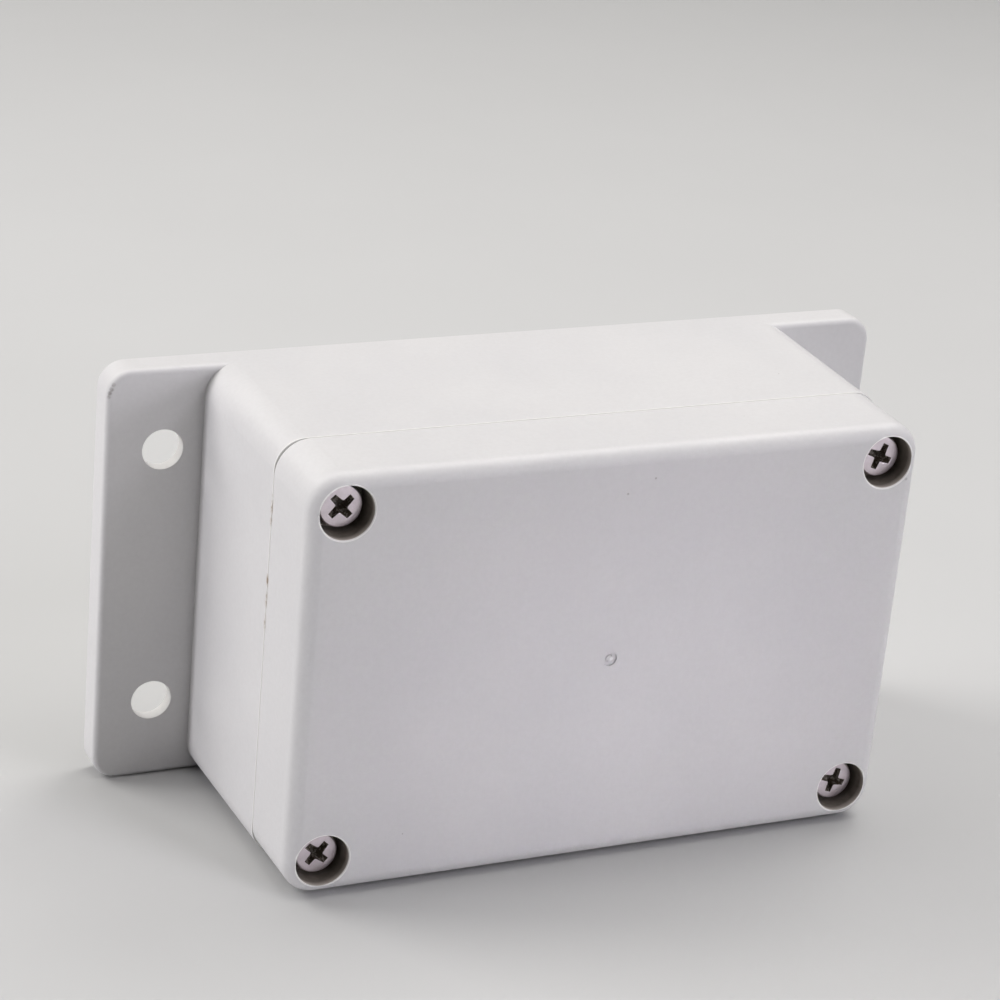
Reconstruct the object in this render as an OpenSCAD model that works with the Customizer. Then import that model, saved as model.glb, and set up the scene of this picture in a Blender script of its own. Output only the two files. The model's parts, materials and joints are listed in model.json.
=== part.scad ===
// Sealed wall-mount project box: a deep base with two integral mounting ears, a shallow lid
// on a tongue and groove seal, and four recessed cross-head screws driven into brass inserts.
//
// The box stands on one of its long sides. X runs along its length, +Z is up, and the lid
// faces -Y. Each piece is drawn lying on its back, lid face up, and is then stood upright.

/* [Box] */
// Length of the box at its back, without the ears
box_length = 100; // [90:1:140]
// Width of the box at its back, which is also the length of each ear
box_width = 68; // [62:1:90]
// Depth of the closed box, from its back to the lid face
box_depth = 48; // [42:1:70]
// Radius of the four long corners of the base, where they meet the ears
corner_radius = 5; // [4:0.2:6]
// How far each side of the base leans in between the ears and the parting line
base_draft = 0.5; // [0.2:0.1:0.8]
// Thickness of the side walls at the parting line
wall = 3; // [2.8:0.1:3.2]
// Thickness of the floor of the base
floor_thickness = 2.6; // [2:0.1:3.5]

/* [Ears] */
// How far each ear stands out from the end of the box
ear_reach = 15.2; // [14:0.1:20]
// Depth of an ear at its rim
ear_depth = 4.9; // [4:0.1:7]
// Thickness of the ear web that the mounting holes pass through
ear_web = 2.2; // [1.8:0.1:3]
// Width of the rim and rib that stiffen an ear from behind
ear_rim = 2; // [1.5:0.1:2.5]
// Radius of the outer corners of an ear
ear_corner = 4; // [3:0.5:8]
// Rounding of the front edge of an ear
ear_edge = 0.9; // [0.5:0.1:1.6]
// Diameter of a mounting hole
mount_hole = 6.4; // [5:0.1:7]
// Distance of a mounting hole from the end of the box
mount_offset = 6.2; // [5.5:0.1:8]
// Distance between the two mounting holes of one ear
mount_pitch = 42; // [36:0.5:46]

/* [Lid] */
// Depth of the lid, from the parting line to its face
lid_depth = 14.1; // [12:0.1:16]
// Thickness of the lid face
lid_face = 2.6; // [2.2:0.1:3]
// Radius of the four corners of the lid at the parting line
lid_corner = 5.2; // [4.6:0.2:6.4]
// How far each side of the lid leans in between the parting line and the face
lid_draft = 0.2; // [0.1:0.05:0.3]
// Rounding of the front edge of the lid
lid_edge = 2.3; // [1:0.1:2.8]
// Height of the shadow gap at the parting line
reveal_height = 0.15; // [0.1:0.05:0.4]
// How far the shadow gap runs in from the outside
reveal_inset = 0.4; // [0.3:0.1:0.8]
// Diameter of the gate mark in the middle of the lid face
gate_mark = 2.3; // [1.5:0.1:3]

/* [Seal] */
// Width of the tongue on the rim of the base
tongue_width = 1.2; // [1:0.1:1.3]
// Height of the tongue above the parting line
tongue_height = 2; // [1.6:0.1:2.6]
// Land between the cavity and the tongue
tongue_land = 0.4; // [0.3:0.1:0.5]
// Clearance between the tongue and each side of the groove
groove_clearance = 0.2; // [0.15:0.05:0.25]
// Thickness of the gasket squeezed in the groove
gasket_thickness = 1.3; // [1:0.1:1.8]
// Thickness of the lip on the inner side of the groove
groove_lip = 1.2; // [1:0.1:1.4]

/* [Screws] */
// Distance of a screw axis from the rim of the base, at the end and at the long side
screw_inset = 5.8; // [5.6:0.1:6.6]
// Radius of the corner post round each screw
post_radius = 5.4; // [5.2:0.1:5.8]
// Diameter of the counterbore that a screw head sits in
counterbore = 8.3; // [7.6:0.1:8.8]
// Depth of the counterbore below the lid face
counterbore_depth = 5.1; // [4.6:0.1:5.6]
// Bevel on the rim of the counterbore
counterbore_bevel = 0.15; // [0.1:0.05:0.3]
// Diameter of a screw head
head_diameter = 6.5; // [6:0.1:7]
// Height of a screw head
head_height = 2.6; // [2:0.1:3]
// Rounding of the top edge of a screw head
head_edge = 0.35; // [0.2:0.05:0.8]
// Diameter of the screw shank over its thread
shank_diameter = 3.5; // [3:0.1:3.6]
// Length of the screw under its head
shank_length = 16; // [14:0.5:17]
// Turn of the cross recess of each screw, in degrees
recess_turns = [41, 65, 47, 70]; // [0:1:89]
// Reach of the cross recess across the head
recess_span = 4.2; // [3.6:0.1:4.6]
// Width of one wing of the cross recess
recess_wing = 1; // [0.7:0.05:1.2]
// Depth of the cross recess
recess_depth = 1.7; // [1.2:0.1:2]

/* [Inside] */
// Outer diameter of a brass insert
insert_diameter = 5.2; // [4.8:0.1:5.4]
// Length of a brass insert
insert_length = 8; // [6:0.5:9]
// Diameter of a circuit board boss
boss_diameter = 6; // [5:0.5:7]
// Height of a circuit board boss above the floor
boss_height = 5; // [3:0.5:8]
// Diameter of the pilot hole in a boss
boss_pilot = 2.4; // [2:0.1:2.8]
// Distance between the bosses along the box
boss_span_x = 56; // [40:1:60]
// Distance between the bosses across the box
boss_span_y = 40; // [30:1:42]

/* [Hidden] */

$fn = 48;
cut = 1;                                   // overshoot of a cutting solid past an open face
fit_clearance = 0.05;                      // radial play of a screw in its insert
lid_hole_play = 0.5;                       // radial play of a screw in the lid
base_height = box_depth - lid_depth;       // height of the parting line above the back
base_root = 1;                             // level from which the side walls rise inside the ears
cavity_fillet = 2;                         // corner radius of the cavity where a post meets a wall
rim_length = box_length - 2 * base_draft;  // size of the box at the parting line
rim_width = box_width - 2 * base_draft;
half_cavity_x = rim_length / 2 - wall;
half_cavity_y = rim_width / 2 - wall;
post_x = rim_length / 2 - screw_inset;
post_y = rim_width / 2 - screw_inset;
mount_x = box_length / 2 + mount_offset;   // distance of a mounting hole from the middle of the box
tongue_outer = tongue_land + tongue_width;
groove_inner = tongue_land - groove_clearance;
groove_outer = tongue_outer + groove_clearance;
groove_depth = tongue_height + gasket_thickness;
gasket_side_play = 0.1;
head_seat = box_depth - counterbore_depth;
shank_chamfer = 0.6;
recess_floor = 0.35;                       // share of the recess span that is left at its floor
insert_depth_below = 4;                    // clearance bore for the screw tip, under the insert
insert_groove = 0.25;                      // depth of the waist between the two gripping bands
insert_band = 2.6;                         // length of each gripping band
rim_lip = 1.5;                             // stock left between an ear pocket and the end wall
pocket_corner = 1.6;
gate_depth = 0.25;
gate_nub = 1.2;                            // diameter of the nub left standing in the gate mark
gate_nub_height = 0.2;

PLASTIC = [0.80, 0.80, 0.81];
RUBBER = [0.16, 0.16, 0.17];
STEEL = [0.72, 0.70, 0.71];
BRASS = [0.78, 0.62, 0.30];

// Corners in the order of the recess turns: top left, top right, bottom left, bottom right.
CORNERS = [[-1, 1], [1, 1], [-1, -1], [1, -1]];

// ---- shared shapes ----

// Stands a piece that lies on its back upright, with the lid towards -Y and a long side down.
module stand_up() {
    translate([0, box_depth / 2, box_width / 2]) rotate([90, 0, 0]) children();
}

// Rectangle with round corners, centred on the origin.
module rounded_rectangle(length, width, radius) {
    square([length - 2 * radius, width], center = true);
    square([length, width - 2 * radius], center = true);
    for (side = CORNERS)
        translate([side[0] * (length / 2 - radius), side[1] * (width / 2 - radius)])
            circle(radius);
}

// Half section of a plain edge that leans in by draft over its height.
module leaning_section(reach, height, draft) {
    polygon([[0, 0], [reach, 0], [reach - draft, height], [0, height]]);
}

// Half section of an edge that leans in by draft and is rounded at its top. The rounding is kept
// on its own side of the corner axis, so that a large one still turns round a small corner.
module rounded_section(reach, height, draft, rounding) {
    lean = atan(draft / height);
    centre_y = height - rounding;
    centre_x = reach - centre_y * tan(lean) - rounding / cos(lean);
    polygon([[0, 0], [reach, 0],
             [centre_x + rounding * cos(lean), centre_y + rounding * sin(lean)],
             [centre_x, centre_y], [centre_x, height], [0, height]]);
    intersection() {
        translate([centre_x, centre_y]) circle(rounding);
        square([2 * reach, 2 * height]);
    }
}

// One straight edge of a plate, running along X with its outside towards +Y.
module straight_edge(run) {
    translate([-run / 2, 0, 0]) rotate([90, 0, 90]) linear_extrude(run) children();
}

// Plate with round corners. Its half section, from a corner axis outward, is carried along the
// four sides and turned round the four corners.
module swept_plate(length, width, height, radius) {
    core_x = length / 2 - radius;
    core_y = width / 2 - radius;
    translate([-core_x, -core_y, 0]) cube([2 * core_x, 2 * core_y, height]);
    for (turn = [0, 180]) {
        rotate([0, 0, turn]) translate([0, core_y, 0]) straight_edge(2 * core_x) children();
        rotate([0, 0, turn - 90]) translate([0, core_x, 0]) straight_edge(2 * core_y) children();
        rotate([0, 0, turn]) translate([core_x, core_y, 0])
            rotate_extrude(angle = 90) children();
        rotate([0, 0, turn]) translate([-core_x, core_y, 0]) rotate([0, 0, 90])
            rotate_extrude(angle = 90) children();
    }
}

// Outline of the cavity, which runs along the walls and steps in round the four corner posts.
// grow moves the whole line outward, so the tongue, groove, gasket and lip all follow one path.
module seal_line(grow) {
    post = post_radius - grow;
    rounded_rectangle(2 * (half_cavity_x + grow), 2 * (post_y - post), cavity_fillet + grow);
    rounded_rectangle(2 * (post_x - post), 2 * (half_cavity_y + grow), cavity_fillet + grow);
    for (side = CORNERS)
        in_quarter(side) difference() {
            translate([post_x - post, post_y - post]) square(post);
            translate([post_x, post_y]) circle(post);
        }
}

// Mirrors a shape drawn in the positive quarter into the quarter that side names.
module in_quarter(side) {
    mirror([side[0] < 0 ? 1 : 0, 0]) mirror([0, side[1] < 0 ? 1 : 0]) children();
}

// Band between two lines of the seal.
module seal_band(outer, inner) {
    difference() {
        seal_line(outer);
        seal_line(inner);
    }
}

// Places a shape on each of the four screw axes.
module at_screws() {
    for (side = CORNERS) translate([side[0] * post_x, side[1] * post_y, 0]) children();
}

// ---- base ----

// Pockets behind one ear, which leave a web, a rim and a rib between the two mounting holes.
module ear_pockets() {
    inner = box_length / 2 + rim_lip;
    outer = box_length / 2 + ear_reach - ear_rim;
    near = ear_rim / 2;
    far = box_width / 2 - ear_rim;
    for (side = [-1, 1])
        translate([(inner + outer) / 2, side * (near + far) / 2, -cut])
            linear_extrude(ear_depth - ear_web + cut)
                rounded_rectangle(outer - inner, far - near, pocket_corner);
}

// Everything that is cut out of the base.
module base_cuts() {
    translate([0, 0, floor_thickness]) linear_extrude(base_height + cut) seal_line(0);
    at_screws() {
        translate([0, 0, base_height - insert_length])
            cylinder(h = insert_length + cut, d = insert_diameter);
        translate([0, 0, base_height - insert_length - insert_depth_below])
            cylinder(h = insert_depth_below + cut, d = shank_diameter + 4 * fit_clearance);
    }
    for (end = [-1, 1]) {
        mirror([end < 0 ? 1 : 0, 0, 0]) ear_pockets();
        for (side = [-1, 1])
            translate([end * mount_x, side * mount_pitch / 2, -cut])
                cylinder(h = ear_depth + 2 * cut, d = mount_hole);
    }
}

// Boss for a circuit board screw, with a blind pilot hole.
module board_boss() {
    difference() {
        cylinder(h = boss_height + floor_thickness / 2, d = boss_diameter);
        translate([0, 0, floor_thickness / 2]) cylinder(h = boss_height + cut, d = boss_pilot);
    }
}

module base() {
    color(PLASTIC) stand_up() {
        difference() {
            union() {
                swept_plate(box_length + 2 * ear_reach, box_width, ear_depth, ear_corner)
                    rounded_section(ear_corner, ear_depth, 0, ear_edge);
                translate([0, 0, base_root]) linear_extrude(ear_depth - base_root)
                    rounded_rectangle(box_length, box_width, corner_radius);
                translate([0, 0, ear_depth])
                    swept_plate(box_length, box_width, base_height - ear_depth, corner_radius)
                        leaning_section(corner_radius, base_height - ear_depth, base_draft);
                translate([0, 0, base_height - cut]) linear_extrude(tongue_height + cut)
                    seal_band(tongue_outer, tongue_land);
            }
            base_cuts();
        }
        for (side = CORNERS)
            translate([side[0] * boss_span_x / 2, side[1] * boss_span_y / 2, floor_thickness / 2])
                board_boss();
    }
}

// ---- lid ----

// Mark left by the moulding gate: a shallow dimple round a small nub.
module gate_dimple() {
    translate([0, 0, box_depth - gate_depth]) difference() {
        cylinder(h = gate_depth + cut, d = gate_mark);
        translate([0, 0, -cut]) cylinder(h = gate_nub_height + cut, d = gate_nub);
    }
}

// Counterbore and clearance hole for one lid screw.
module screw_hole() {
    translate([0, 0, base_height - cut])
        cylinder(h = lid_depth, d = shank_diameter + 2 * lid_hole_play);
    translate([0, 0, head_seat]) cylinder(h = counterbore_depth + cut, d = counterbore);
    translate([0, 0, box_depth - counterbore_bevel])
        cylinder(h = 2 * counterbore_bevel, d1 = counterbore, d2 = counterbore + 4 * counterbore_bevel);
}

module lid() {
    color(PLASTIC) stand_up() difference() {
        translate([0, 0, base_height])
            swept_plate(rim_length, rim_width, lid_depth, lid_corner)
                rounded_section(lid_corner, lid_depth, lid_draft, lid_edge);
        translate([0, 0, base_height - cut]) {
            linear_extrude(lid_depth - lid_face + cut) seal_line(-groove_lip);
            linear_extrude(groove_depth + cut) seal_band(groove_outer, groove_inner);
            linear_extrude(reveal_height + cut) difference() {
                square([2 * box_length, 2 * box_width], center = true);
                rounded_rectangle(rim_length - 2 * reveal_inset, rim_width - 2 * reveal_inset,
                                  lid_corner - reveal_inset);
            }
        }
        at_screws() screw_hole();
        gate_dimple();
    }
}

// ---- seal ----

module gasket() {
    color(RUBBER) stand_up() translate([0, 0, base_height + tongue_height])
        linear_extrude(gasket_thickness)
            seal_band(groove_outer - gasket_side_play, groove_inner + gasket_side_play);
}

// ---- screws and inserts ----

// One wing pair of the cross recess: a slot whose ends slope in towards its floor.
module recess_slot() {
    top = recess_span / 2;
    low = top * recess_floor;
    rotate([90, 0, 0]) translate([0, 0, -recess_wing / 2]) linear_extrude(recess_wing)
        polygon([[-low, -recess_depth], [low, -recess_depth], [top, 0], [top, cut],
                 [-top, cut], [-top, 0]]);
}

// Cheese-head screw with a cross recess, on its own axis with the head seat at the origin.
module cross_screw() {
    head = head_diameter / 2;
    shank = shank_diameter / 2;
    difference() {
        rotate_extrude() {
            square([head - head_edge, head_height]);
            square([head, head_height - head_edge]);
            translate([head - head_edge, head_height - head_edge]) circle(head_edge);
        }
        translate([0, 0, head_height]) {
            recess_slot();
            rotate([0, 0, 90]) recess_slot();
        }
    }
    rotate_extrude()
        polygon([[0, 0], [shank, 0], [shank, shank_chamfer - shank_length],
                 [shank - shank_chamfer, -shank_length], [0, -shank_length]]);
}

// The lid screw at one corner, with its recess turned as it was left.
module lid_screw(corner) {
    color(STEEL) stand_up()
        translate([CORNERS[corner][0] * post_x, CORNERS[corner][1] * post_y, head_seat])
            rotate([0, 0, recess_turns[corner]]) cross_screw();
}

// Pressed-in threaded insert with two gripping bands and a waist between them.
module threaded_insert(corner) {
    bore = shank_diameter / 2 + fit_clearance;
    outer = insert_diameter / 2;
    color(BRASS) stand_up()
        translate([CORNERS[corner][0] * post_x, CORNERS[corner][1] * post_y,
                   base_height - insert_length])
            rotate_extrude() {
                translate([bore, 0]) square([outer - insert_groove - bore, insert_length]);
                translate([bore, 0]) square([outer - bore, insert_band]);
                translate([bore, insert_length - insert_band]) square([outer - bore, insert_band]);
            }
}

base();
lid();
gasket();
lid_screw(0);  // lid_screw_top_left
lid_screw(1);  // lid_screw_top_right
lid_screw(2);  // lid_screw_bottom_left
lid_screw(3);  // lid_screw_bottom_right
threaded_insert(0);  // insert_top_left
threaded_insert(1);  // insert_top_right
threaded_insert(2);  // insert_bottom_left
threaded_insert(3);  // insert_bottom_right
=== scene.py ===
"""Studio picture of a sealed plastic project box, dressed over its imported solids.

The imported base, lid and gasket keep their own meshes and get their finishes here. The screws
and the brass inserts are modelled again with their recesses, threads and knurls, each in the
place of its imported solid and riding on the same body. Every length is in metres.
"""

import json
import logging
import math
from abc import ABC, abstractmethod
from collections.abc import Iterable, Sequence
from dataclasses import dataclass
from enum import Enum

import bmesh
import bpy
from mathutils import Matrix, Vector

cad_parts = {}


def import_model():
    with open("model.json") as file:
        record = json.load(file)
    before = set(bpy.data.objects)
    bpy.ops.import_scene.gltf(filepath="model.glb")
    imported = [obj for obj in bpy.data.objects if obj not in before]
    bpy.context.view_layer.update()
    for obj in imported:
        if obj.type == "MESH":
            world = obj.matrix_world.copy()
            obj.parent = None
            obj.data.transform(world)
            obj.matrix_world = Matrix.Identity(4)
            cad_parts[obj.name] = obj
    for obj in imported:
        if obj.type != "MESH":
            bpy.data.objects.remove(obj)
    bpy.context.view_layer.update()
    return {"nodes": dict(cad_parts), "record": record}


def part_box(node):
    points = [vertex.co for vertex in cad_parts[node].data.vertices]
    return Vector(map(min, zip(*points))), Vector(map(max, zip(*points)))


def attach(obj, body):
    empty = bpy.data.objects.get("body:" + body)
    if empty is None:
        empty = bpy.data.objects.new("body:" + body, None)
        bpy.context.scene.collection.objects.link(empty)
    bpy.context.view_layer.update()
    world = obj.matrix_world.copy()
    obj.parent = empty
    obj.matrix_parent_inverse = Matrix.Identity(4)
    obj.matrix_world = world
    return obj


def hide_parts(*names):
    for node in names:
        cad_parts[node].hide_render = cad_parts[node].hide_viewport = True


log = logging.getLogger("project_box")

MM = 0.001
FULL_TURN = 2.0 * math.pi

Span = tuple[float, float]
Point = tuple[float, float, float]
Tone = tuple[float, float, float]
Node = bpy.types.ShaderNode
Socket = bpy.types.NodeSocket
Mesh = bmesh.types.BMesh
Ring = list[bmesh.types.BMVert]

# The full range of a mask, rising and falling.
ON = (0.0, 1.0)
OFF = (1.0, 0.0)
# Switches that keep two of the three axes, so that a distance runs from a line along Y.
ROUND_Y = (1.0, 0.0, 1.0)
# The Mix node has a set of sockets for each kind of data, so its colours go by position.
MIX_FIRST, MIX_SECOND, MIX_RESULT = 6, 7, 2


class Corner(Enum):
    """The four corners of the lid, by the name that their screw and insert carry."""

    TOP_LEFT = "top_left"
    TOP_RIGHT = "top_right"
    BOTTOM_LEFT = "bottom_left"
    BOTTOM_RIGHT = "bottom_right"


class Slot(Enum):
    """The record's material slots that the pieces made here take their finish from."""

    STEEL = "screw_steel"
    BRASS = "insert_brass"


# ---- node trees ----


@dataclass(frozen=True)
class Pattern:
    """A soft noise pattern, and the range of its values that is put to use."""

    per_mm: float
    detail: float = 3.0
    roughness: float = 0.5
    window: Span = (0.3, 0.7)


@dataclass
class NodeSheet:
    """A thin typed wrapper round one material's node tree."""

    material: bpy.types.Material

    @classmethod
    def blank(cls, name: str) -> "NodeSheet":
        """Makes a material that holds only a Principled shader and its output.

        Args:
            name: Name of the new material.

        Returns:
            The sheet of the new material.
        """
        material = bpy.data.materials.new(name)
        material.use_nodes = True
        return cls(material)

    @property
    def shader(self) -> Node:
        """The material's Principled shader."""
        return self.material.node_tree.nodes["Principled BSDF"]

    def add(self, kind: str, **settings: object) -> Node:
        """Adds a node and sets its properties.

        Args:
            kind: Blender's name for the node class.
            settings: Properties to set on the new node.

        Returns:
            The new node.
        """
        node = self.material.node_tree.nodes.new(kind)
        for key, value in settings.items():
            setattr(node, key, value)
        return node

    def link(self, source: Socket, target: Socket) -> None:
        """Joins an output socket to an input socket.

        Args:
            source: Socket that the value comes from.
            target: Socket that takes it.
        """
        self.material.node_tree.links.new(source, target)

    def drive(self, name: str, source: Socket) -> None:
        """Joins an output socket to an input of the shader.

        Args:
            name: Name of the input.
            source: Socket that the value comes from.
        """
        self.link(source, self.shader.inputs[name])

    def fix(self, name: str, value: float) -> None:
        """Sets an input of the shader to a number.

        Args:
            name: Name of the input.
            value: The number.
        """
        self.shader.inputs[name].default_value = value

    def place(self) -> Socket:
        """Returns the object's own coordinates, in metres in the frame of the part."""
        return self.add("ShaderNodeTexCoord").outputs["Object"]

    def split(self, place: Socket) -> Node:
        """Splits coordinates into their X, Y and Z.

        Args:
            place: Coordinates to split.

        Returns:
            The node that carries the three values.
        """
        axes = self.add("ShaderNodeSeparateXYZ")
        self.link(place, axes.inputs[0])
        return axes

    def noise(self, place: Socket, pattern: Pattern) -> Socket:
        """Adds a noise texture.

        Args:
            place: Coordinates to sample at.
            pattern: Fineness of the noise. Its window isn't used here.

        Returns:
            The noise value, from 0 to 1.
        """
        node = self.add("ShaderNodeTexNoise")
        node.inputs["Scale"].default_value = pattern.per_mm / MM
        node.inputs["Detail"].default_value = pattern.detail
        node.inputs["Roughness"].default_value = pattern.roughness
        self.link(place, node.inputs["Vector"])
        return node.outputs["Fac"]

    def patches(self, place: Socket, pattern: Pattern, new: Span = ON) -> Socket:
        """Adds a noise texture and spreads the middle of its range over new values.

        Args:
            place: Coordinates to sample at.
            pattern: Fineness of the noise and the window that counts.
            new: Values at the two ends of the window.

        Returns:
            The patchy value.
        """
        return self.spread(self.noise(place, pattern), pattern.window, new)

    def cells(self, place: Socket, per_mm: float) -> Node:
        """Adds a pattern of irregular cells.

        Args:
            place: Coordinates to sample at.
            per_mm: Cells for each millimetre.

        Returns:
            The node, with the distance from the middle of each cell and its own colour.
        """
        node = self.add("ShaderNodeTexVoronoi")
        node.inputs["Scale"].default_value = per_mm / MM
        self.link(place, node.inputs["Vector"])
        return node

    def spread(self, value: Socket, old: Span, new: Span) -> Socket:
        """Maps one range of values on to another, and clamps what lies outside it.

        Args:
            value: Value to map.
            old: Lowest and highest value that come in.
            new: Values that they become.

        Returns:
            The mapped value.
        """
        node = self.add("ShaderNodeMapRange")
        self.link(value, node.inputs["Value"])
        node.inputs["From Min"].default_value, node.inputs["From Max"].default_value = old
        node.inputs["To Min"].default_value, node.inputs["To Max"].default_value = new
        return node.outputs["Result"]

    def maths(self, operation: str, first: Socket, second: Socket | float = 0.0) -> Socket:
        """Adds a Math node.

        Args:
            operation: Blender's name for the operation.
            first: First value.
            second: Second value, or a number, where the operation needs one.

        Returns:
            The result.
        """
        node = self.add("ShaderNodeMath", operation=operation)
        self.link(first, node.inputs[0])
        if isinstance(second, float):
            node.inputs[1].default_value = second
        else:
            self.link(second, node.inputs[1])
        return node.outputs[0]

    def away_from(self, place: Socket, spot: Point, along: Point = (1.0, 1.0, 1.0)) -> Socket:
        """Measures the distance from a point, or from a line if one axis is left out.

        Args:
            place: Coordinates to measure at.
            spot: Point to measure from.
            along: 1 for each axis that counts and 0 for one that does not.

        Returns:
            The distance.
        """
        offset = self.add("ShaderNodeVectorMath", operation="SUBTRACT")
        self.link(place, offset.inputs[0])
        offset.inputs[1].default_value = spot
        kept = self.add("ShaderNodeVectorMath", operation="MULTIPLY")
        self.link(offset.outputs[0], kept.inputs[0])
        kept.inputs[1].default_value = along
        size = self.add("ShaderNodeVectorMath", operation="LENGTH")
        self.link(kept.outputs[0], size.inputs[0])
        return size.outputs["Value"]

    def tint(self, share: Socket, first: Tone | Socket, second: Tone) -> Socket:
        """Blends one colour into another.

        Args:
            share: 0 for the first colour and 1 for the second.
            first: First colour, or a socket that carries it.
            second: Second colour.

        Returns:
            The blended colour.
        """
        node = self.add("ShaderNodeMix", data_type="RGBA")
        self.link(share, node.inputs["Factor"])
        if isinstance(first, tuple):
            node.inputs[MIX_FIRST].default_value = (*first, 1.0)
        else:
            self.link(first, node.inputs[MIX_FIRST])
        node.inputs[MIX_SECOND].default_value = (*second, 1.0)
        return node.outputs[MIX_RESULT]

    def emboss(self, height: Socket, depth: float) -> None:
        """Adds a bump and joins it to the shader.

        Args:
            height: Height of the surface, from 0 to 1.
            depth: What a height of 1 stands for.
        """
        node = self.add("ShaderNodeBump")
        node.inputs["Distance"].default_value = depth
        self.link(height, node.inputs["Height"])
        self.drive("Normal", node.outputs["Normal"])


# ---- dirt, marks and painted light and shade on the plastic ----


class Layer(ABC):
    """Something that lies on the plain plastic and changes its colour."""

    @abstractmethod
    def colour(self, sheet: NodeSheet, place: Socket, under: Socket) -> Socket:
        """Lays this layer over a colour.

        Args:
            sheet: Sheet to draw on.
            place: Coordinates of the surface.
            under: Colour of what lies below.

        Returns:
            The colour with this layer on it.
        """


@dataclass(frozen=True)
class Specks(Layer):
    """A faint mottling, and sparse dark pinpricks in some cells of a coarse pattern."""

    tone: Tone = (0.22, 0.20, 0.19)
    mottling: Pattern = Pattern(1.4, roughness=0.6)
    mottle_strength: float = 0.05
    cells_per_mm: float = 0.16
    fade: Span = (0.014, 0.026)
    strength: float = 0.55
    empty_cells: float = 0.62

    def colour(self, sheet: NodeSheet, place: Socket, under: Socket) -> Socket:
        """Adds the mottling and then the pinpricks, as Layer describes."""
        mottle = sheet.patches(place, self.mottling, (0.0, self.mottle_strength))
        mottled = sheet.tint(mottle, under, self.tone)
        cells = sheet.cells(place, self.cells_per_mm)
        near = sheet.spread(cells.outputs["Distance"], self.fade, (self.strength, 0.0))
        parts = sheet.add("ShaderNodeSeparateColor")
        sheet.link(cells.outputs["Color"], parts.inputs[0])
        chosen = sheet.maths("GREATER_THAN", parts.outputs[0], self.empty_cells)
        return sheet.tint(sheet.maths("MULTIPLY", near, chosen), mottled, self.tone)


@dataclass(frozen=True)
class SeamStain:
    """A brown stain along the parting line: where its middle lies, and how far it reaches."""

    height: float
    half_length: float
    strength: float


@dataclass(frozen=True)
class Seam(Layer):
    """The parting line: a pale band at `plane` along Y, painted light that lightens the shade in
    its gap, and brown stains to the left of `end`.
    """

    plane: float
    end: float
    stains: tuple[SeamStain, ...]
    # Painted light: a pale band on the parting line that lightens the shade of its gap.
    gap_light: Tone = (0.82, 0.81, 0.80)
    gap_light_fade: Span = (0.16 * MM, 0.28 * MM)
    stain: Tone = (0.30, 0.21, 0.13)
    stain_fade: Span = (0.16 * MM, 0.62 * MM)
    stain_core: float = 0.3
    torn: Pattern = Pattern(0.9, roughness=0.65, window=(0.38, 0.58))

    def colour(self, sheet: NodeSheet, place: Socket, under: Socket) -> Socket:
        """Adds the painted light in the gap and then the stains, as Layer describes."""
        axes = sheet.split(place)
        off = sheet.maths("ABSOLUTE", sheet.maths("SUBTRACT", axes.outputs["Y"], self.plane))
        gap_lit = sheet.tint(sheet.spread(off, self.gap_light_fade, OFF), under, self.gap_light)
        band = sheet.spread(off, self.stain_fade, OFF)
        mask = sheet.maths("MULTIPLY", self._lengths(sheet, axes), band)
        side = sheet.maths("LESS_THAN", axes.outputs["X"], self.end)
        mask = sheet.maths("MULTIPLY", mask, side)
        mask = sheet.maths("MULTIPLY", mask, sheet.patches(place, self.torn))
        return sheet.tint(mask, gap_lit, self.stain)

    def _lengths(self, sheet: NodeSheet, axes: Node) -> Socket:
        """Masks the heights at which the stains lie.

        Args:
            sheet: Sheet to draw on.
            axes: Split coordinates of the surface.

        Returns:
            The strength of the strongest stain at each height.
        """
        total = None
        for patch in self.stains:
            away = sheet.maths("SUBTRACT", axes.outputs["Z"], patch.height)
            away = sheet.maths("ABSOLUTE", away)
            fade = (self.stain_core * patch.half_length, patch.half_length)
            here = sheet.spread(away, fade, (patch.strength, 0.0))
            total = here if total is None else sheet.maths("MAXIMUM", total, here)
        return total


@dataclass(frozen=True)
class Spot:
    """A small mark on the surface, at a place in the frame of the part."""

    place: Point
    reach: float
    strength: float
    tone: Tone = (0.20, 0.18, 0.17)


@dataclass(frozen=True)
class Spots(Layer):
    """Separate small marks with torn edges."""

    spots: tuple[Spot, ...]
    core: float = 0.4
    torn: Pattern = Pattern(2.6, roughness=0.7, window=(0.36, 0.56))
    torn_to: float = 0.35

    def colour(self, sheet: NodeSheet, place: Socket, under: Socket) -> Socket:
        """Adds the marks one after the other, as Layer describes."""
        torn = sheet.patches(place, self.torn, (self.torn_to, 1.0))
        colour = under
        for spot in self.spots:
            away = sheet.away_from(place, spot.place)
            mark = sheet.spread(away, (self.core * spot.reach, spot.reach), (spot.strength, 0.0))
            colour = sheet.tint(sheet.maths("MULTIPLY", mark, torn), colour, spot.tone)
        return colour


@dataclass(frozen=True)
class LitHoleWalls(Layer):
    """The mounting holes of the ears, whose walls are painted paler than the faces round them, as
    painted light.
    """

    centres: tuple[Span, ...]
    radius: float
    fade: Span = (0.03 * MM, 0.08 * MM)
    # Painted light: the pale tone makes the walls read as lit.
    tone: Tone = (0.93, 0.92, 0.91)

    def colour(self, sheet: NodeSheet, place: Socket, under: Socket) -> Socket:
        """Paints light on the walls of the holes, as Layer describes."""
        colour = under
        limits = (self.radius + self.fade[0], self.radius + self.fade[1])
        for across, up in self.centres:
            away = sheet.away_from(place, (across, 0.0, up), ROUND_Y)
            colour = sheet.tint(sheet.spread(away, limits, OFF), colour, self.tone)
        return colour


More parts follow.
